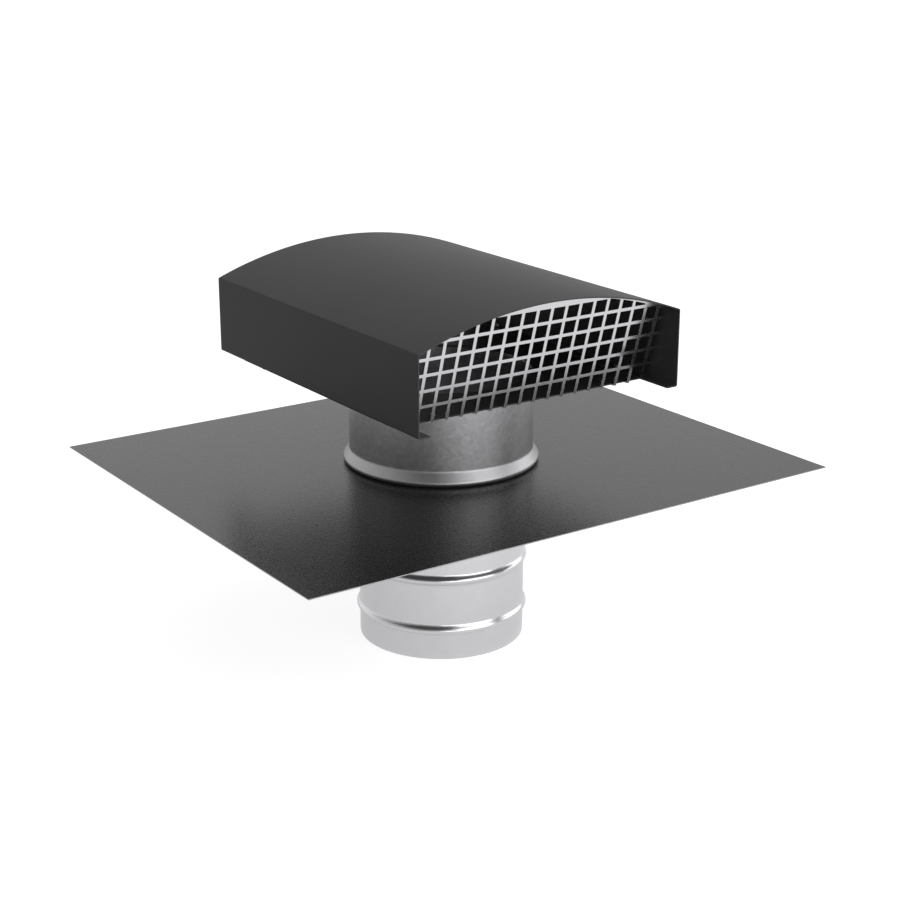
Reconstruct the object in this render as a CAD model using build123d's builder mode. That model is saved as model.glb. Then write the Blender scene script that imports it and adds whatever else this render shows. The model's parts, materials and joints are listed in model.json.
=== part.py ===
from build123d import *

import math
import os

# Roof vent outlet for a 160 mm duct. A flashing plate lies on the roof, a duct spigot hangs under it, and a
# neck over it carries a hood that is open at both ends behind leaning perforated grilles.
# Origin on the duct's axis at the plate's underside, which is the roof line. +Z is up, +Y runs along the
# hood and -Y is its front end. All sizes in millimetres.

# Duct spigot, a rolled tube with two swaged beads
duct_diameter = 159.0
tube_sheet = 0.8
spigot_drop = 174.0
bead_height = 2.9
bead_width = 12.5
bead_crown = 4.5
lower_bead_rise = 29.0
bead_spacing = 50.0

# Flashing plate
plate_width = 560.0
plate_depth = 460.0
plate_sheet = 1.0
spigot_clearance = 0.1

# Neck, a wider tube with a swaged foot on the plate and a turned-out flange under the hood
neck_step = 7.0
foot_roll = 6.2
foot_height = 11.5
foot_shoulder = 6.5
foot_chamfer = 3.0
foot_lip = 1.5
foot_clearance = 0.3
neck_flange = 8.0
stand_off = 87.8

# Hood, one folded sheet
hood_width = 281.0
hood_length = 347.0
wall_height = 71.9
roof_rise = 26.6
hood_sheet = 1.2
hood_bend = 2.0
return_flange = 12.0

# Hood floor, under the return flanges
floor_sheet = 1.2
floor_inset = 3.0

# Grilles, square-perforated sheet with a foot that is turned under the floor
grille_sheet = 1.0
grille_tilt = 16.0
grille_setback = 39.6
grille_foot = 14.0
grille_gap = 0.3
mesh_pitch = 15.5
mesh_bar = 3.2
mesh_rows = 6
mesh_rim = 2.5
smallest_cell = 12.0
tab_width = 24.0
tab_depth = 8.0
tab_spacing = 80.0

# Blind rivets, drawn with flats because they repeat
rivet_diameter = 3.2
rivet_head = 6.4
rivet_head_height = 1.0
rivet_bulb = 4.8
rivet_bulb_length = 3.0
rivet_clearance = 0.1
rivet_sides = 8
flange_rivet_spacing = 190.0
grille_rivet_spacing = 186.0

# Levels and radii that follow from those sizes
plate_top = plate_sheet
hood_base = plate_top + stand_off
floor_bottom = hood_base - floor_sheet
wall_top = hood_base + wall_height
roof_apex = wall_top + roof_rise
half_width = hood_width / 2
half_length = hood_length / 2
spigot_radius = duct_diameter / 2
neck_radius = spigot_radius + neck_step
tilt = math.radians(grille_tilt)
grille_y = -half_length + grille_setback
flange_grip = floor_sheet + hood_sheet
grille_grip = floor_sheet + grille_sheet
foot_level = hood_base - grille_grip
foot_y = grille_y + grille_grip * math.tan(tilt)


def folded_sheet(skin, sheet):
    """The closed section of a sheet whose one face follows these points, with mitred folds on its left."""
    points = [Vector(*point) for point in skin]
    sides = [(b - a).normalized().rotate(Axis.Z, 90) for a, b in zip(points, points[1:])]
    before = [sides[0], *sides]
    after = [*sides, sides[-1]]
    other_face = [
        point + (left + right) * (sheet / (1 + left.dot(right)))
        for point, left, right in zip(points, before, after)
    ]
    return [*points, *reversed(other_face)]


def blind_rivet(grip):
    """A set rivet, with its head's seat at the origin and its shank going up through the sheets."""
    set_end = grip + rivet_clearance
    with BuildPart() as rivet:
        with BuildSketch(Plane.XY.offset(-rivet_head_height)):
            RegularPolygon(rivet_head / 2, rivet_sides)
        extrude(amount=rivet_head_height)
        with BuildSketch():
            RegularPolygon(rivet_diameter / 2, rivet_sides)
        extrude(amount=set_end)
        with BuildSketch(Plane.XY.offset(set_end)):
            RegularPolygon(rivet_bulb / 2, rivet_sides)
        extrude(amount=rivet_bulb_length)
    return rivet.part


def rivet_holes(seats, level, depth):
    """The holes that rivets on those seats go up through, from that level."""
    with BuildPart() as holes:
        with BuildSketch(Plane.XY.offset(level)):
            with Locations(*seats):
                RegularPolygon(rivet_diameter / 2 + rivet_clearance, rivet_sides)
        extrude(amount=depth)
    return holes.part


def hood_core(roof_gap, wall_gap):
    """The room in the hood, those gaps away from its roof and walls, down to the grilles' feet."""
    inner = half_width - hood_sheet - wall_gap
    flange_edge = half_width - return_flange - grille_gap
    flange_top = hood_base + hood_sheet + grille_gap
    roof_radius = (half_width**2 + roof_rise**2) / (2 * roof_rise) - hood_sheet - roof_gap
    roof_centre = roof_apex - hood_sheet - roof_gap - roof_radius
    eaves = roof_centre + math.sqrt(roof_radius**2 - inner**2)
    with BuildPart() as core:
        with BuildSketch(Plane.XZ):
            with BuildLine():
                Polyline(
                    (-inner, eaves),
                    (-inner, flange_top),
                    (-flange_edge, flange_top),
                    (-flange_edge, foot_level),
                    (flange_edge, foot_level),
                    (flange_edge, flange_top),
                    (inner, flange_top),
                    (inner, eaves),
                )
                ThreePointArc((inner, eaves), (0, roof_centre + roof_radius), (-inner, eaves))
            make_face()
        extrude(amount=half_length, both=True)
    return core.part


# Flashing plate
with BuildPart() as flashing_plate:
    with BuildSketch():
        Rectangle(plate_width, plate_depth)
        Circle(spigot_radius + spigot_clearance, mode=Mode.SUBTRACT)
    extrude(amount=plate_sheet)

# Duct spigot, hung in the plate's hole by a turned-out flange that is spot-welded inside the neck's foot
lower_bead = -spigot_drop + lower_bead_rise
bead_points = [
    (radius, middle + offset_z)
    for middle in (lower_bead, lower_bead + bead_spacing)
    for radius, offset_z in (
        (spigot_radius, -bead_width / 2),
        (spigot_radius + bead_height, -bead_crown / 2),
        (spigot_radius + bead_height, bead_crown / 2),
        (spigot_radius, bead_width / 2),
    )
]
with BuildPart() as duct_spigot:
    with BuildSketch(Plane.XZ):
        with BuildLine():
            spigot_skin = [
                (spigot_radius, -spigot_drop),
                *bead_points,
                (spigot_radius, plate_top),
                (neck_radius - foot_lip - foot_clearance, plate_top),
            ]
            Polyline(*folded_sheet(spigot_skin, tube_sheet), close=True)
        make_face()
    revolve(axis=Axis.Z)

# Neck, spot-welded to the plate by its foot and to the floor by its flange
with BuildPart() as neck_collar:
    with BuildSketch(Plane.XZ):
        with BuildLine():
            neck_skin = [
                (neck_radius - foot_lip, plate_top),
                (neck_radius + foot_roll - foot_chamfer, plate_top),
                (neck_radius + foot_roll, plate_top + foot_chamfer),
                (neck_radius + foot_roll, plate_top + foot_shoulder),
                (neck_radius, plate_top + foot_height),
                (neck_radius, floor_bottom - tube_sheet),
                (neck_radius + neck_flange, floor_bottom - tube_sheet),
            ]
            Polyline(*folded_sheet(neck_skin, tube_sheet), close=True)
        make_face()
    revolve(axis=Axis.Z)

# Where the rivets go in from under the floor
flange_seats = [
    (side * (half_width - return_flange / 2), end * flange_rivet_spacing / 2)
    for side in (-1, 1)
    for end in (-1, 1)
]
grille_seat_y = foot_y + grille_foot - rivet_head / 2 - mesh_bar / 2
front_seats = [(side * grille_rivet_spacing / 2, grille_seat_y) for side in (-1, 1)]
rear_seats = [(x, -y) for x, y in front_seats]

# Hood floor, which ends just behind the grilles
floor_end_y = grille_y + grille_sheet / math.cos(tilt) + floor_sheet * math.tan(tilt) + grille_gap
with BuildPart() as hood_floor:
    with BuildSketch(Plane.XY.offset(floor_bottom)):
        Rectangle(2 * (half_width - floor_inset), -2 * floor_end_y)
        Circle(neck_radius - tube_sheet, mode=Mode.SUBTRACT)
    extrude(amount=floor_sheet)
    add(rivet_holes(flange_seats, floor_bottom, flange_grip), mode=Mode.SUBTRACT)
    add(rivet_holes(front_seats + rear_seats, foot_level, grille_grip), mode=Mode.SUBTRACT)

# Hood, with its return flanges on the floor
with BuildPart() as hood_shell:
    with BuildSketch(Plane.XZ) as hood_section:
        with BuildLine():
            Polyline(
                (-half_width, wall_top),
                (-half_width, hood_base),
                (half_width, hood_base),
                (half_width, wall_top),
            )
            ThreePointArc((half_width, wall_top), (0, roof_apex), (-half_width, wall_top))
        make_face()
        fillet(hood_section.vertices(), hood_bend)
        offset(amount=-hood_sheet, mode=Mode.SUBTRACT)
        with Locations((0, hood_base)):
            Rectangle(hood_width - 2 * return_flange, wall_height, mode=Mode.SUBTRACT)
    extrude(amount=half_length, both=True)
    add(rivet_holes(flange_seats, floor_bottom, flange_grip), mode=Mode.SUBTRACT)

# Holes of a grille: whole rows in its face, and a bottom row that runs on round the bend of its foot
grille_face = Plane(
    origin=(0, grille_y, hood_base), x_dir=(1, 0, 0), z_dir=(0, -math.cos(tilt), -math.sin(tilt))
)
cell = mesh_pitch - mesh_bar
bottom_cell = mesh_pitch - mesh_bar / 2
mesh_columns = 2 * math.ceil(half_width / mesh_pitch) + 1
with BuildPart() as perforation:
    with BuildSketch(grille_face):
        with Locations((0, mesh_pitch * (mesh_rows + 1) / 2)):
            with GridLocations(mesh_pitch, mesh_pitch, mesh_columns, mesh_rows - 1):
                Rectangle(cell, cell)
    extrude(amount=grille_sheet, both=True)
    with BuildSketch(grille_face):
        with GridLocations(mesh_pitch, mesh_pitch, mesh_columns, 1):
            Rectangle(cell, 2 * bottom_cell)
    extrude(amount=-grille_sheet - mesh_bar)
    add(hood_core(mesh_rim, 0), mode=Mode.INTERSECT)
cells = [hole for hole in perforation.part.solids() if hole.volume > smallest_cell * grille_sheet]

# Tabs of a grille, which follow the roof's curve and are spot-welded to it
face_height = 2 * (roof_apex - hood_base)
grille_room = hood_core(grille_gap, grille_gap)
with BuildPart() as roof_tabs:
    with BuildSketch(grille_face):
        with GridLocations(tab_spacing, 1, 3, 1):
            Rectangle(tab_width, face_height, align=(Align.CENTER, Align.MIN))
    extrude(amount=-tab_depth)
    add(grille_room, mode=Mode.INTERSECT)
    add(hood_core(grille_gap + grille_sheet, grille_gap), mode=Mode.SUBTRACT)

# Grilles, the rear one turned about
with BuildPart() as front_grille:
    with BuildSketch(grille_face):
        with Locations((0, -grille_grip / math.cos(tilt))):
            Rectangle(hood_width, face_height, align=(Align.CENTER, Align.MIN))
    extrude(amount=-grille_sheet)
    with BuildSketch(Plane.XY.offset(foot_level)):
        with Locations((0, foot_y)):
            Rectangle(hood_width - 2 * return_flange, grille_foot, align=(Align.CENTER, Align.MIN))
    extrude(amount=grille_sheet)
    add(grille_room, mode=Mode.INTERSECT)
    add(roof_tabs.part)
    add(cells, mode=Mode.SUBTRACT)
    add(rivet_holes(front_seats, foot_level, grille_grip), mode=Mode.SUBTRACT)
with BuildPart() as rear_grille:
    mirror(front_grille.part, about=Plane.XZ)

# Rivets
flange_rivet = blind_rivet(flange_grip)
grille_rivet = blind_rivet(grille_grip)
with BuildPart() as flange_rivets:
    with Locations(*[(x, y, floor_bottom) for x, y in flange_seats]):
        add(flange_rivet)
with BuildPart() as front_grille_rivets:
    with Locations(*[(x, y, foot_level) for x, y in front_seats]):
        add(grille_rivet)
with BuildPart() as rear_grille_rivets:
    with Locations(*[(x, y, foot_level) for x, y in rear_seats]):
        add(grille_rivet)

os.makedirs("parts", exist_ok=True)
pieces = {
    "flashing_plate": flashing_plate,
    "duct_spigot": duct_spigot,
    "neck_collar": neck_collar,
    "hood_floor": hood_floor,
    "hood_shell": hood_shell,
    "flange_rivets": flange_rivets,
    "front_grille": front_grille,
    "front_grille_rivets": front_grille_rivets,
    "rear_grille": rear_grille,
    "rear_grille_rivets": rear_grille_rivets,
}
for name, piece in pieces.items():
    piece.part.label = name
    export_step(piece.part, f"parts/{name}.step")
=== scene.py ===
import json
import math

import bpy
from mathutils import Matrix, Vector


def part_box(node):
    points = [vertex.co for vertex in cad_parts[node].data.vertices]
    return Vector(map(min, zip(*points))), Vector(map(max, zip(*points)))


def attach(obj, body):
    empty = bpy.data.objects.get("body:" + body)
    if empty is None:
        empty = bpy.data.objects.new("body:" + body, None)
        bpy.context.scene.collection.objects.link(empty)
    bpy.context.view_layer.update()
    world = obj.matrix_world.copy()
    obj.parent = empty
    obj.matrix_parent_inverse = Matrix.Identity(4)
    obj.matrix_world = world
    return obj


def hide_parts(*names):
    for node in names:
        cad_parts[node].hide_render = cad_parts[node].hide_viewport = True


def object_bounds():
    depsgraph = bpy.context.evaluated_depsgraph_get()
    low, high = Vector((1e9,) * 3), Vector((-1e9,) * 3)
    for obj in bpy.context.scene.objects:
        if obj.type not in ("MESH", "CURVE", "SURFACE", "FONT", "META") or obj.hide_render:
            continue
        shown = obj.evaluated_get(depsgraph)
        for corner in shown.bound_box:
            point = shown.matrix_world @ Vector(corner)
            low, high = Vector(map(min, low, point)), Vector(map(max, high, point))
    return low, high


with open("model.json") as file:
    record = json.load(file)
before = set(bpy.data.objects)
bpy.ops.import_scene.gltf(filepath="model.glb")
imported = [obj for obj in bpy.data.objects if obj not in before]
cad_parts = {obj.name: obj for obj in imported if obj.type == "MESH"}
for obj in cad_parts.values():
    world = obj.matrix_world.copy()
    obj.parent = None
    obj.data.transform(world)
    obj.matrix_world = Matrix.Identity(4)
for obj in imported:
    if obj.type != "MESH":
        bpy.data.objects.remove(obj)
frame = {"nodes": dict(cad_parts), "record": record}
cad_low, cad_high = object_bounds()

# Duct spigot: a tube rolled from bright galvanised sheet, with two swaged beads that stiffen it and stop
# the duct that is pushed over its plain end. Its top is turned out to a narrow flange, spot-welded to the
# flashing plate.
spigot_low, spigot_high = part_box("duct_spigot")
mounts = {mount["name"]: mount for mount in frame["record"]["mounts"]}
mm_per_metre = 1000
spigot_radius = mounts["duct_end"]["dims"]["r_mm"] / mm_per_metre
tube_sheet = 0.0008
tube_edge = 0.0002
bead_height = 0.0029
bead_width = 0.0125
lower_bead_rise = 0.029
bead_spacing = 0.05
bead_steps = 20
tube_steps = 192
merge_gap = 1e-6
edge_segments = 2
edge_angle = math.radians(40)
smooth_angle = math.radians(30)


def draw_outline(name, points):
    """A new piece, drawn from point to point as a line of edges, and left in edit mode."""
    bpy.ops.object.select_all(action="DESELECT")
    bpy.ops.mesh.primitive_plane_add()
    piece = bpy.context.object
    piece.name = name
    piece.data.name = name
    bpy.ops.object.mode_set(mode="EDIT")
    bpy.ops.mesh.merge(type="CENTER")
    bpy.ops.transform.translate(value=points[0])
    for here, there in zip(points, points[1:]):
        bpy.ops.mesh.extrude_vertices_move(TRANSFORM_OT_translate={"value": there - here})
    bpy.ops.mesh.select_all(action="SELECT")
    return piece


def roll_outline(steps):
    """Rolls the outline in hand into a round skin about the duct's axis."""
    bpy.ops.mesh.spin(steps=steps, angle=math.tau, center=(0, 0, 0), axis=(0, 0, 1))
    bpy.ops.mesh.select_all(action="SELECT")
    bpy.ops.mesh.remove_doubles(threshold=merge_gap)
    bpy.ops.mesh.normals_make_consistent(inside=False)


def apply_modifier(piece, kind, **settings):
    """Adds a modifier with those settings to a piece and applies it."""
    bpy.context.view_layer.objects.active = piece
    bpy.ops.object.modifier_add(type=kind)
    modifier = piece.modifiers[-1]
    for setting, value in settings.items():
        setattr(modifier, setting, value)
    bpy.ops.object.modifier_apply(modifier=modifier.name)


def ease_edges(piece, edge):
    """Rounds the edges of a piece by a little and shades its flat faces flat."""
    apply_modifier(
        piece, "BEVEL", width=edge, segments=edge_segments, limit_method="ANGLE", angle_limit=edge_angle
    )
    bpy.ops.object.shade_smooth_by_angle(angle=smooth_angle)
    apply_modifier(piece, "WEIGHTED_NORMAL", keep_sharp=True)


def finish_sheet(piece, sheet, edge, offset=-1, rim=0):
    """Leaves edit mode, gives a skin its sheet's thickness, inside or centred, and eases the cut edges.

    The cut edges take the finish that stands so many places after the skin's own.
    """
    bpy.ops.object.mode_set(mode="OBJECT")
    apply_modifier(
        piece, "SOLIDIFY", thickness=sheet, offset=offset, use_even_offset=True, material_offset_rim=rim
    )
    ease_edges(piece, edge)


spigot_line = [Vector((spigot_radius, 0, spigot_low.z))]
for bead_middle in (spigot_low.z + lower_bead_rise, spigot_low.z + lower_bead_rise + bead_spacing):
    for step in range(bead_steps + 1):
        share = step / bead_steps
        swell = bead_height * (1 - math.cos(math.tau * share)) / 2
        spigot_line.append(Vector((spigot_radius + swell, 0, bead_middle + bead_width * (share - 0.5))))
spigot_line.append(Vector((spigot_radius, 0, spigot_high.z - tube_sheet)))
spigot_line.append(Vector((spigot_high.x, 0, spigot_high.z - tube_sheet)))
spigot = draw_outline("spigot_tube", spigot_line)
roll_outline(tube_steps)
finish_sheet(spigot, tube_sheet, tube_edge)

cool_tint = 1.02
cloud_spread = 2.5
grain_scale = 900
grain_strength = 0.3
grain_depth = 0.00002
dullness_spread = 0.15


def add_node(finish, kind, inputs, **settings):
    """A new node in a finish, with its settings, and its inputs set to values or linked to other nodes."""
    node = finish.node_tree.nodes.new("ShaderNode" + kind)
    for setting, value in settings.items():
        setattr(node, setting, value)
    for socket, value in inputs.items():
        if isinstance(value, bpy.types.NodeSocket):
            finish.node_tree.links.new(value, node.inputs[socket])
        else:
            node.inputs[socket].default_value = value
    return node


def start_finish(name):
    """A new finish and its shader."""
    finish = bpy.data.materials.new(name)
    finish.use_nodes = True
    return finish, finish.node_tree.nodes["Principled BSDF"]


def own_place(finish):
    """The piece's own coordinates, for a pattern in its finish."""
    return add_node(finish, "TexCoord", {}).outputs["Object"]


def set_finish(shader, **inputs):
    """Sets the shader's inputs, by names with underscores, to values or links them to other nodes."""
    links = shader.id_data.links
    for name, value in inputs.items():
        socket = shader.inputs[name.replace("_", " ")]
        if isinstance(value, bpy.types.NodeSocket):
            links.new(value, socket)
        else:
            socket.default_value = value


def grey(value):
    """A slightly cool grey."""
    return (value, value, value * cool_tint, 1)


def blend_tones(finish, share, dark, light):
    """A tone between two colours, each a colour or a socket, by a share from another node."""
    mix = add_node(finish, "Mix", {"Factor": share, "A": dark, "B": light}, data_type="RGBA")
    return mix.outputs["Result"]


def zinc(name, dark, light, spangle, roughness, tilt):
    """Galvanised sheet: zinc crystals that differ a little in tone and tilt, under a fine rolled grain."""
    finish, shader = start_finish(name)
    place = own_place(finish)
    crystal = add_node(finish, "TexVoronoi", {"Vector": place, "Scale": 1 / spangle, "Randomness": 1})
    tone = add_node(finish, "SeparateColor", {"Color": crystal.outputs["Color"]})
    cloud = add_node(
        finish, "TexNoise",
        {"Vector": place, "Scale": 1 / (spangle * cloud_spread), "Detail": 4, "Roughness": 0.6},
    )
    blend = add_node(
        finish, "Math", {0: tone.outputs["Red"], 1: cloud.outputs["Fac"]}, operation="MULTIPLY"
    )
    facing = add_node(finish, "NewGeometry", {})
    centred = add_node(
        finish, "VectorMath", {0: crystal.outputs["Color"], 1: (0.5, 0.5, 0.5)}, operation="SUBTRACT"
    )
    tilted = add_node(finish, "VectorMath", {0: centred.outputs[0], "Scale": tilt}, operation="SCALE")
    leaning = add_node(
        finish, "VectorMath", {0: facing.outputs["Normal"], 1: tilted.outputs[0]}, operation="ADD"
    )
    levelled = add_node(finish, "VectorMath", {0: leaning.outputs[0]}, operation="NORMALIZE")
    grain = add_node(
        finish, "TexNoise", {"Vector": place, "Scale": grain_scale, "Detail": 3, "Roughness": 0.6}
    )
    relief = add_node(
        finish, "Bump",
        {
            "Height": grain.outputs["Fac"],
            "Strength": grain_strength,
            "Distance": grain_depth,
            "Normal": levelled.outputs[0],
        },
    )
    dulled = add_node(
        finish, "MapRange",
        {
            "Value": cloud.outputs["Fac"],
            "To Min": roughness * (1 - dullness_spread),
            "To Max": roughness * (1 + dullness_spread),
        },
    )
    set_finish(
        shader,
        Base_Color=blend_tones(finish, blend.outputs[0], grey(dark), grey(light)),
        Metallic=1,
        Roughness=dulled.outputs["Result"],
        Normal=relief.outputs["Normal"],
    )
    return finish


spigot_zinc = zinc("bright_spigot_zinc", dark=0.7, light=0.73, spangle=0.009, roughness=0.24, tilt=0.003)
spigot.data.materials.append(spigot_zinc)
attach(spigot, "root")
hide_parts("duct_spigot")

# Flashing plate: a flat rectangle of steel sheet, sheared to size, with a punched hole for the spigot. It
# is coated with a dark grey gloss paint that dries in fine wrinkles, and it lies on the roof under the
# covering.
plate_low, plate_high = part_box("flashing_plate")
hole_clearance = 0.0001
plate_hole = spigot_radius + hole_clearance
plate_middle = (plate_low.z + plate_high.z) / 2
plate_edge = 0.0002
plate_cuts = 39
paint_dark = 0.011
paint_light = 0.017
paint_cloud_scale = 18
wrinkle_scale = 420
wrinkle_strength = 0.72
wrinkle_depth = 0.00015
wrinkle_gloss = 0.2
wrinkle_dullness = 0.33

bpy.ops.object.select_all(action="DESELECT")
bpy.ops.mesh.primitive_plane_add(size=1)
plate = bpy.context.object
plate.name = "flashing_sheet"
plate.data.name = "flashing_sheet"
bpy.ops.object.mode_set(mode="EDIT")
bpy.ops.transform.resize(value=(plate_high.x - plate_low.x, plate_high.y - plate_low.y, 1))
bpy.ops.transform.translate(value=(0, 0, plate_middle))
bpy.ops.mesh.delete(type="ONLY_FACE")
bpy.ops.mesh.select_all(action="SELECT")
bpy.ops.mesh.subdivide(number_cuts=plate_cuts)
bpy.ops.mesh.primitive_circle_add(
    vertices=4 * (plate_cuts + 1), radius=plate_hole, location=(0, 0, plate_middle)
)
bpy.ops.mesh.select_all(action="SELECT")
bpy.ops.mesh.bridge_edge_loops()

paint, paint_shader = start_finish("wrinkled_flashing_paint")
paint_place = own_place(paint)
wrinkle = add_node(
    paint, "TexNoise",
    {"Vector": paint_place, "Scale": wrinkle_scale, "Detail": 3, "Roughness": 0.55, "Distortion": 0.8},
)
paint_cloud = add_node(paint, "TexNoise", {"Vector": paint_place, "Scale": paint_cloud_scale, "Detail": 3})
paint_gloss = add_node(
    paint, "MapRange",
    {"Value": wrinkle.outputs["Fac"], "To Min": wrinkle_gloss, "To Max": wrinkle_dullness},
)
paint_relief = add_node(
    paint, "Bump",
    {"Height": wrinkle.outputs["Fac"], "Strength": wrinkle_strength, "Distance": wrinkle_depth},
)
set_finish(
    paint_shader,
    Base_Color=blend_tones(paint, paint_cloud.outputs["Fac"], grey(paint_dark), grey(paint_light)),
    Roughness=paint_gloss.outputs["Result"],
    Normal=paint_relief.outputs["Normal"],
)
plate.data.materials.append(paint)
sheared_edge = zinc("sheared_plate_edge", dark=0.34, light=0.44, spangle=0.004, roughness=0.4, tilt=0.01)
plate.data.materials.append(sheared_edge)
finish_sheet(plate, plate_high.z - plate_low.z, plate_edge, offset=0, rim=1)
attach(plate, "root")
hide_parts("flashing_plate")

# Neck: a wider rolled tube of dull spangled galvanised sheet over the hole. Its foot is swaged out to a
# flare, turned in at its edge and spot-welded to the plate, and its top is turned out to a flange under the
# hood's floor. Below the crease the flare is coloured a flat lighter grey, a painted highlight.
neck_low, neck_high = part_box("neck_collar")
neck_step = 0.007
neck_radius = spigot_radius + neck_step
foot_lip = 0.0015
foot_reach = 0.0056
foot_tuck = 0.0026
foot_drop = 0.0039
foot_turn = 0.0022
foot_under = 0.0028
foot_blend = 0.0016
foot_slope = math.radians(33)
foot_steps = 12
blend_steps = 6
flange_bend = 0.0015
# The painted highlight on the flare: its lighter grey, and how softly it meets the wall at the crease.
flare_highlight_tone = 0.41
flare_highlight_edge = 0.001
quarter_turn = math.pi / 2


def bend(middle, across, up, start, end, steps):
    """Points along a round or oval bend about its middle, from one angle above the level to another."""
    swings = [start + (end - start) * step / steps for step in range(steps + 1)]
    return [middle + Vector((across * math.cos(swing), 0, up * math.sin(swing))) for swing in swings]


foot_middle = Vector((neck_radius + foot_reach - foot_turn, 0, neck_low.z + foot_drop))
neck_line = [
    Vector((neck_radius - foot_lip, 0, neck_low.z)),
    Vector((foot_middle.x - foot_tuck, 0, neck_low.z)),
]
neck_line += bend(foot_middle, foot_turn, foot_under, -quarter_turn, 0, foot_steps)
neck_line += bend(foot_middle, foot_turn, foot_turn, 0, foot_slope, foot_steps)[1:]
flare_edge = neck_line[-1]
crease_rise = (flare_edge.x - neck_radius) / math.tan(foot_slope)
crease = Vector((neck_radius, 0, flare_edge.z + crease_rise))
flank_end = crease + foot_blend * (flare_edge - crease).normalized()
wall_foot = crease + Vector((0, 0, foot_blend))
for step in range(blend_steps + 1):
    share = step / blend_steps
    neck_line.append(flank_end.lerp(crease, share).lerp(crease.lerp(wall_foot, share), share))
neck_top = neck_high.z - tube_sheet
flange_middle = Vector((neck_radius + flange_bend, 0, neck_top - flange_bend))
neck_line += bend(flange_middle, flange_bend, flange_bend, math.pi, quarter_turn, blend_steps)
neck_line.append(Vector((neck_high.x, 0, neck_top)))
neck = draw_outline("neck_tube", neck_line)
roll_outline(tube_steps)
finish_sheet(neck, tube_sheet, tube_edge)

neck_zinc = zinc("dull_neck_zinc", dark=0.33, light=0.45, spangle=0.003, roughness=0.42, tilt=0.015)
neck_shader = neck_zinc.node_tree.nodes["Principled BSDF"]
wall_tone = neck_shader.inputs["Base Color"].links[0].from_socket
neck_rise = add_node(neck_zinc, "SeparateXYZ", {"Vector": own_place(neck_zinc)})
# Painted highlight: below the crease the flare takes a flat lighter grey in place of the wall's zinc tone.
flare_highlight = add_node(
    neck_zinc, "MapRange",
    {
        "Value": neck_rise.outputs["Z"],
        "From Min": crease.z - flare_highlight_edge,
        "From Max": crease.z + flare_highlight_edge,
        "To Min": 1,
        "To Max": 0,
    },
)
neck_tone = blend_tones(neck_zinc, flare_highlight.outputs["Result"], wall_tone, grey(flare_highlight_tone))
set_finish(neck_shader, Base_Color=neck_tone)
neck.data.materials.append(neck_zinc)
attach(neck, "root")
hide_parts("neck_collar")

# Hood floor: a flat steel sheet with a round hole over the neck, painted, with a smoother coat underneath
# whose slightly lighter grey is painted light that brightens the underside's reflection in the plate. It
# lies under the hood's return flanges and is riveted to them, and the feet of both grilles are turned under
# its ends.
floor_edge = 0.00015
flat_angle = math.radians(0.5)
underside_normal = -0.5
peel_scale = 700
peel_strength = 0.2
peel_depth = 0.00003
drift_scale = 9
drift_dullness = 0.03


def copy_solid(name, node, edge):
    """A merged copy of a solid as a piece of its own, with whole flat faces and eased edges."""
    bpy.ops.object.select_all(action="DESELECT")
    piece = bpy.data.objects.new(name, frame["nodes"][node].data.copy())
    piece.data.name = name
    bpy.context.scene.collection.objects.link(piece)
    piece.select_set(True)
    bpy.context.view_layer.objects.active = piece
    bpy.ops.mesh.customdata_custom_splitnormals_clear()
    bpy.ops.object.mode_set(mode="EDIT")
    bpy.ops.mesh.select_all(action="SELECT")
    bpy.ops.mesh.remove_doubles(threshold=merge_gap)
    bpy.ops.mesh.dissolve_limited(angle_limit=flat_angle)
    bpy.ops.mesh.normals_make_consistent(inside=False)
    bpy.ops.object.mode_set(mode="OBJECT")
    piece.data.materials.clear()
    ease_edges(piece, edge)
    return piece


def satin_paint(name, dark, light, dullness=0.5, mirror=0.18):
    """Slate grey powder paint, satin, with a fine orange peel and a slight drift in tone."""
    finish, shader = start_finish(name)
    place = own_place(finish)
    peel = add_node(
        finish, "TexNoise", {"Vector": place, "Scale": peel_scale, "Detail": 2, "Roughness": 0.5}
    )
    drift = add_node(finish, "TexNoise", {"Vector": place, "Scale": drift_scale, "Detail": 3})
    sheen = add_node(
        finish, "MapRange",
        {
            "Value": drift.outputs["Fac"],
            "To Min": dullness - drift_dullness,
            "To Max": dullness + drift_dullness,
        },
    )
    relief = add_node(
        finish, "Bump", {"Height": peel.outputs["Fac"], "Strength": peel_strength, "Distance": peel_depth}
    )
    set_finish(
        shader,
        Base_Color=blend_tones(finish, drift.outputs["Fac"], grey(dark), grey(light)),
        Roughness=sheen.outputs["Result"],
        Specular_IOR_Level=mirror,
        Normal=relief.outputs["Normal"],
    )
    return finish


chamber_floor = copy_solid("chamber_floor", "hood_floor", floor_edge)
hood_paint = satin_paint("satin_hood_paint", dark=0.03, light=0.034)
lightened_underside_paint = satin_paint(
    "smooth_underside_painted_light", dark=0.04, light=0.046, dullness=0.2, mirror=0.75
)
chamber_floor.data.materials.append(hood_paint)
chamber_floor.data.materials.append(lightened_underside_paint)
# Faces that point down take the smoother coat, whose lighter grey is painted light.
for face in chamber_floor.data.polygons:
    face.material_index = int(face.normal.z < underside_normal)
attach(chamber_floor, "root")
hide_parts("hood_floor")

# Hood: one long steel sheet, folded at the eaves, rolled to a low arch over the top and turned in along both
# bottom edges, painted all over. It is open at both ends. Its cut edges take a lighter grey paint, a painted
# highlight along them.
hood_low, hood_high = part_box("hood_shell")
hood_sheet = 0.0012
hood_edge = 0.0002
hood_bend = 0.002
return_flange = 0.012
wall_height = 0.0719
bend_steps = 6
half_roof_steps = 24

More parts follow.
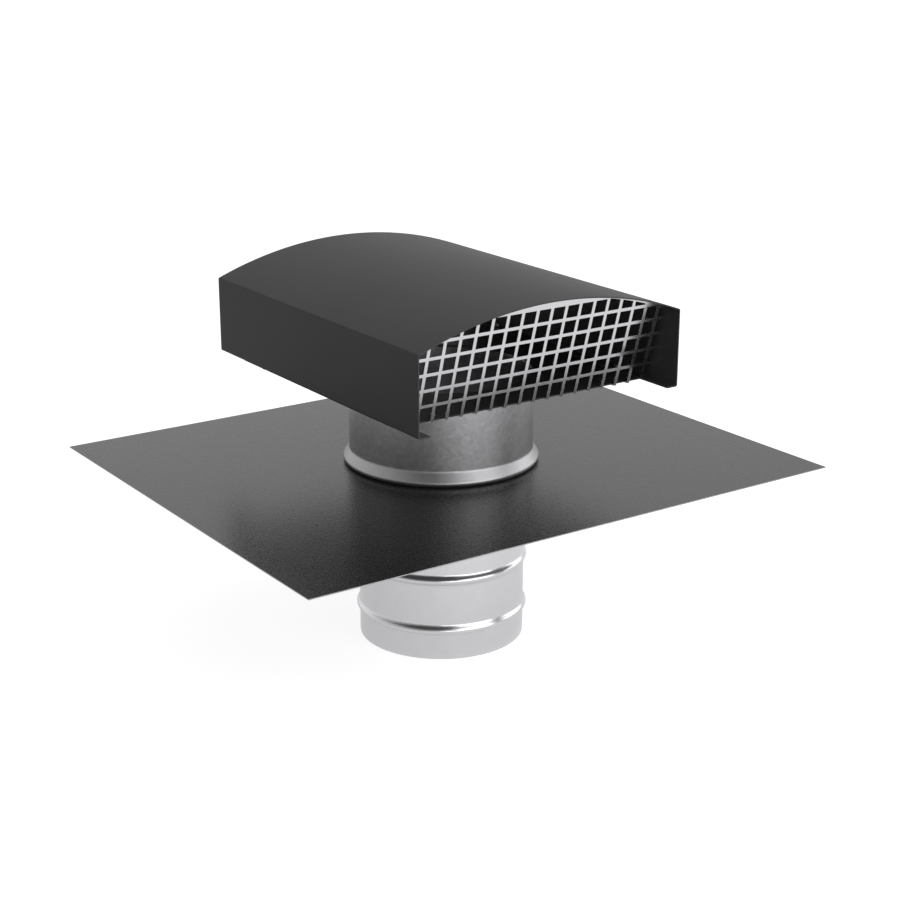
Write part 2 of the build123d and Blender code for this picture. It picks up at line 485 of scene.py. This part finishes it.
half_width = hood_high.x
roof_spring = hood_low.z + wall_height
roof_rise = hood_high.z - roof_spring
roof_radius = (half_width**2 + roof_rise**2) / (2 * roof_rise)
roof_middle = Vector((0, 0, hood_high.z - roof_radius))
eaves_x = half_width - hood_bend
eaves_rise = math.sqrt((roof_radius - hood_bend) ** 2 - eaves_x**2)
eaves_middle = roof_middle + Vector((eaves_x, 0, eaves_rise))
eaves_angle = math.atan2(eaves_rise, eaves_x)
fold_middle = Vector((eaves_x, 0, hood_low.z + hood_bend))

right_half = [Vector((half_width - return_flange, 0, hood_low.z))]
right_half += bend(fold_middle, hood_bend, hood_bend, -quarter_turn, 0, bend_steps)
right_half += bend(eaves_middle, hood_bend, hood_bend, 0, eaves_angle, bend_steps)
right_half += bend(roof_middle, roof_radius, roof_radius, eaves_angle, quarter_turn, half_roof_steps)[1:]
left_half = [Vector((-point.x, 0, point.z)) for point in reversed(right_half[:-1])]
hood_line = [point + Vector((0, hood_low.y, 0)) for point in right_half + left_half]
hood = draw_outline("folded_hood", hood_line)
bpy.ops.mesh.extrude_region_move(TRANSFORM_OT_translate={"value": (0, hood_high.y - hood_low.y, 0)})
bpy.ops.mesh.select_all(action="SELECT")
bpy.ops.mesh.normals_make_consistent(inside=False)
hood.data.materials.append(hood_paint)
# Painted highlight: the cut edges get a lighter grey than the hood so that they show as a thin light line.
hood.data.materials.append(satin_paint("edge_highlight_paint", dark=0.05, light=0.06))
finish_sheet(hood, hood_sheet, hood_edge, rim=1)
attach(hood, "root")
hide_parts("hood_shell")

# Grilles: two square-punched sheets of bright zinc-coated steel, one behind each mouth of the hood. Each
# leans out towards its mouth, is turned under the floor at its foot and is held under the roof by three
# tabs.
grille_edge = 0.00012
grille_zinc = zinc("bright_grille_zinc", dark=0.66, light=0.72, spangle=0.008, roughness=0.23, tilt=0.01)
for end in ("front", "rear"):
    grille = copy_solid(end + "_mesh_sheet", end + "_grille", grille_edge)
    grille.data.materials.append(grille_zinc)
    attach(grille, "root")
    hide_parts(end + "_grille")

# Blind rivets: small aluminium rivets with domed heads below and drawn bulbs above, set from under the
# floor, four through the hood's return flanges and two through the foot of each grille.
head_radius = 0.0032
head_height = 0.001
head_dome = math.radians(54)
shank_radius = 0.0016
bulb_radius = 0.0024
bulb_length = 0.003
bulb_shoulder = 0.0003
bulb_taper = 0.0006
pin_radius = 0.0009
pin_depth = 0.0003
pin_rim = 0.0001
dome_steps = 8
rivet_steps = 24
rivet_smooth_angle = math.radians(40)
seat_digits = 5
rivet_metal = zinc("rivet_aluminium", dark=0.6, light=0.7, spangle=0.002, roughness=0.3, tilt=0.01)

for node in ("flange_rivets", "front_grille_rivets", "rear_grille_rivets"):
    low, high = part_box(node)
    seat_z = low.z + head_height
    rivet_line = [
        Vector((0, 0, low.z + pin_depth)),
        Vector((pin_radius, 0, low.z + pin_depth)),
        Vector((pin_radius, 0, low.z + pin_rim)),
    ]
    rivet_line += bend(Vector((0, 0, seat_z)), head_radius, head_height, -head_dome, 0, dome_steps)
    for radius, height in (
        (shank_radius, seat_z),
        (shank_radius, high.z - bulb_length),
        (bulb_radius, high.z - bulb_length + bulb_shoulder),
        (bulb_radius, high.z - bulb_taper),
        (shank_radius, high.z),
        (0, high.z),
    ):
        rivet_line.append(Vector((radius, 0, height)))
    rivets = draw_outline("set_" + node, rivet_line)
    roll_outline(rivet_steps)
    seats = [
        Vector((x, y, 0))
        for x in (low.x + head_radius, high.x - head_radius)
        for y in sorted({round(low.y + head_radius, seat_digits), round(high.y - head_radius, seat_digits)})
    ]
    bpy.ops.transform.translate(value=seats[0])
    for here, there in zip(seats, seats[1:]):
        bpy.ops.mesh.duplicate_move(TRANSFORM_OT_translate={"value": there - here})
    bpy.ops.object.mode_set(mode="OBJECT")
    bpy.ops.object.shade_smooth_by_angle(angle=rivet_smooth_angle)
    rivets.data.materials.append(rivet_metal)
    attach(rivets, "root")
    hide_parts(node)

# Floor: a plain white sweep that the spigot's rim stands on. It looks white to the camera, shows pale in
# the metal and the gloss paint, and keeps a soft shadow of the object.
floor_reach = 40
floor_tone = 0.5
floor_roughness = 0.9
floor_glow = 0.82
floor_gleam = 0.55


def ray_kinds(finish):
    """Whether a ray shows the surface to the camera, and whether it comes off a glossy surface."""
    path = add_node(finish, "LightPath", {})
    seen = add_node(
        finish, "Math", {0: path.outputs["Is Camera Ray"], 1: path.outputs["Is Transmission Ray"]},
        operation="MAXIMUM",
    )
    return seen.outputs[0], path.outputs["Is Glossy Ray"]


bpy.ops.object.select_all(action="DESELECT")
bpy.ops.mesh.primitive_plane_add(size=floor_reach, location=(0, 0, 0))
floor = bpy.context.object
floor.name = "studio_floor"
bpy.ops.object.mode_set(mode="EDIT")
bpy.ops.transform.translate(value=(0, 0, cad_low.z))
bpy.ops.object.mode_set(mode="OBJECT")
floor_white, floor_shader = start_finish("floor_white")
set_finish(floor_shader, Base_Color=grey(floor_tone), Roughness=floor_roughness, Specular_IOR_Level=0)
floor_seen, floor_glossy = ray_kinds(floor_white)
gleam = add_node(floor_white, "Math", {0: floor_glossy, 1: floor_gleam}, operation="MULTIPLY")
glow_share = add_node(
    floor_white, "Math", {0: floor_seen, 1: floor_glow, 2: gleam.outputs[0]}, operation="MULTIPLY_ADD"
)
glow = add_node(floor_white, "Emission", {"Color": (1, 1, 1, 1), "Strength": glow_share.outputs[0]})
floor_mix = add_node(
    floor_white, "AddShader", {0: floor_shader.outputs["BSDF"], 1: glow.outputs["Emission"]}
)
floor_white.node_tree.links.new(
    floor_mix.outputs["Shader"], floor_white.node_tree.nodes["Material Output"].inputs["Surface"]
)
floor.data.materials.append(floor_white)

# Light: a white room, bright behind the object and dimmer on the camera's side. A soft lamp and a low strip
# lamp stand in front, and another soft lamp stands at the right.
room_fill = 0.5
room_front = 0.35
room_dim_from = -0.4
room_behind = (0.174, 0.985, 0)
lamps = {
    "key_lamp": {"power": 19, "width": 2.2, "height": 1.4, "place": Vector((0.6, -2.17, 1.3))},
    "low_lamp": {"power": 17, "width": 3.5, "height": 0.5, "place": Vector((0.05, -2.57, 0.23))},
    "side_lamp": {"power": 18, "width": 2, "height": 2, "place": Vector((2.3, -0.51, 1.1))},
}

room = bpy.data.worlds.new("white_room")
bpy.context.scene.world = room
room.use_nodes = True
room_seen, room_glossy = ray_kinds(room)
room_way = add_node(room, "TexCoord", {})
behind = add_node(
    room, "VectorMath", {0: room_way.outputs["Generated"], 1: room_behind}, operation="DOT_PRODUCT"
)
mirrored = add_node(
    room, "MapRange",
    {
        "Value": behind.outputs["Value"],
        "From Min": room_dim_from,
        "From Max": 1,
        "To Min": room_front,
        "To Max": 1,
    },
)
lit = add_node(
    room, "MapRange", {"Value": room_glossy, "To Min": room_fill, "To Max": mirrored.outputs["Result"]}
)
room_strength = add_node(
    room, "MapRange", {"Value": room_seen, "To Min": lit.outputs["Result"], "To Max": 1}
)
room_back = room.node_tree.nodes["Background"]
room_back.inputs["Color"].default_value = (1, 1, 1, 1)
room.node_tree.links.new(room_strength.outputs["Result"], room_back.inputs["Strength"])

for name, sizes in lamps.items():
    lamp = bpy.data.objects.new(name, bpy.data.lights.new(name, "AREA"))
    lamp.data.shape = "RECTANGLE"
    lamp.data.size = sizes["width"]
    lamp.data.size_y = sizes["height"]
    lamp.data.energy = sizes["power"]
    lamp.location = sizes["place"]
    lamp.rotation_euler = (-sizes["place"]).to_track_quat("-Z", "Y").to_euler()
    bpy.context.scene.collection.objects.link(lamp)

# Camera: at the photograph's angle, from the front left and a little above.
camera_turn = math.radians(-34.54)
camera_rise = math.radians(18.15)
camera_distance = 1.68724
camera_target = Vector((0.00695, -0.00479, 0.00756))
camera_lens = 70.79
camera_sensor = 36
camera_back = Vector((
    math.sin(camera_turn) * math.cos(camera_rise),
    -math.cos(camera_turn) * math.cos(camera_rise),
    math.sin(camera_rise),
))
camera = bpy.data.objects.new("camera", bpy.data.cameras.new("camera"))
camera.data.sensor_width = camera_sensor
camera.data.lens = camera_lens
camera.location = camera_target + camera_back * camera_distance
camera.rotation_euler = (-camera_back).to_track_quat("-Z", "Y").to_euler()
bpy.context.scene.collection.objects.link(camera)
bpy.context.scene.camera = camera
bpy.context.scene.view_settings.view_transform = "Standard"
